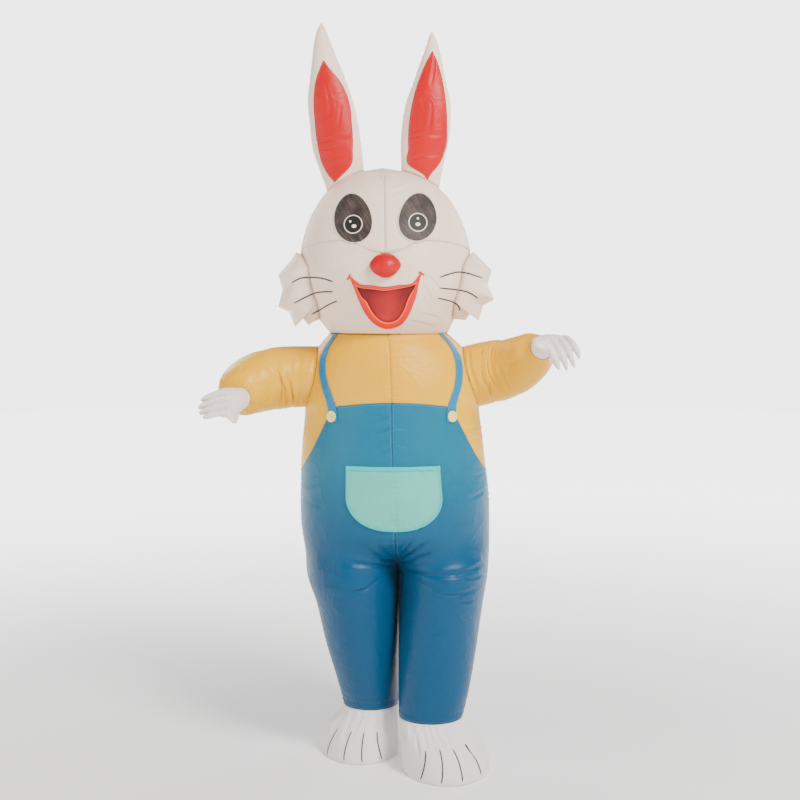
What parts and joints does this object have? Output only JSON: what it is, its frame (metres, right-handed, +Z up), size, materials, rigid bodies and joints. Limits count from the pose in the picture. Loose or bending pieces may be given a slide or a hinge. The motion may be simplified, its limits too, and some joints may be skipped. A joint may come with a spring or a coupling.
{
  "type": "inflatable bunny costume",
  "caption": "Hollow air-filled bunny suit: long-eared head, yellow top, blue bib dungarees with a front pocket, gloves and shoe covers, zip and fan at the back.",
  "frame": {"origin": "middle of the wearer's shoulders, 1.38 m above the floor that the shoe covers stand on", "axes": "+Z up, -Y the way the costume faces, +X the wearer's left"},
  "size_m": [1.1615, 0.6023, 2.3922],
  "materials": {
    "cream_button": "smooth",
    "white_polyester": "soft woven polyester",
    "blue_nylon": "satin sheen",
    "red_polyester": "soft woven polyester",
    "eye_print": "printed",
    "black_plastic": "moulded",
    "glove_satin": "satin",
    "orange_trim": "flat ribbon",
    "dark_red_mesh": "open mesh",
    "teal_nylon": "light sheen",
    "teal_binding": "folded binding",
    "yellow_nylon": "light sheen",
    "strap_nylon": "woven webbing",
    "zip_metal": "plated",
    "zip_tape": "woven tape"
  },
  "bodies": {
    "costume": {"button_front_left": "cream_button", "button_front_right": "cream_button", "cheek_tuft_left": "white_polyester", "cheek_tuft_right": "white_polyester", "dungarees_back_left": "blue_nylon", "dungarees_back_right": "blue_nylon", "dungarees_front_left": "blue_nylon", "dungarees_front_right": "blue_nylon", "ear_back_left": "white_polyester", "ear_back_right": "white_polyester", "ear_front_left": "white_polyester", "ear_front_right": "white_polyester", "ear_inner_left": "red_polyester", "ear_inner_right": "red_polyester", "eye_patch_left": "eye_print", "eye_patch_right": "eye_print", "fan_guard": "black_plastic", "fan_housing": "black_plastic", "glove_left": "glove_satin", "glove_right": "glove_satin", "head_back_left": "white_polyester", "head_back_right": "white_polyester", "head_front_left": "white_polyester", "head_front_right": "white_polyester", "mouth_trim": "orange_trim", "mouth_window": "dark_red_mesh", "muzzle": "white_polyester", "nose": "red_polyester", "pocket": "teal_nylon", "pocket_binding": "teal_binding", "shoe_cover_left": "white_polyester", "shoe_cover_right": "white_polyester", "sleeve_left": "yellow_nylon", "sleeve_right": "yellow_nylon", "strap_back_left": "strap_nylon", "strap_back_right": "strap_nylon", "strap_front_left": "strap_nylon", "strap_front_right": "strap_nylon", "top_back_left": "yellow_nylon", "top_back_right": "yellow_nylon", "top_front_left": "yellow_nylon", "top_front_right": "yellow_nylon", "zip_slider": "zip_metal", "zip_tape": "zip_tape"},
    "zip_pull": {"zip_pull": "zip_metal"},
    "fan_rotor": {"fan_rotor": "black_plastic"}
  },
  "joints": [
    {"name": "zip_pull_hinge", "type": "hinge", "parent": "costume", "child": "zip_pull", "pos_m": [-0.03225, 0.19045, -0.01112], "axis": [1, 0, 0], "range_deg": [0, 150]},
    {"name": "fan_spin", "type": "hinge", "parent": "costume", "child": "fan_rotor", "pos_m": [0.12457, 0.19591, -0.47603], "axis": [0.3877, 0.9189, 0.0734], "continuous": true}
  ]
}
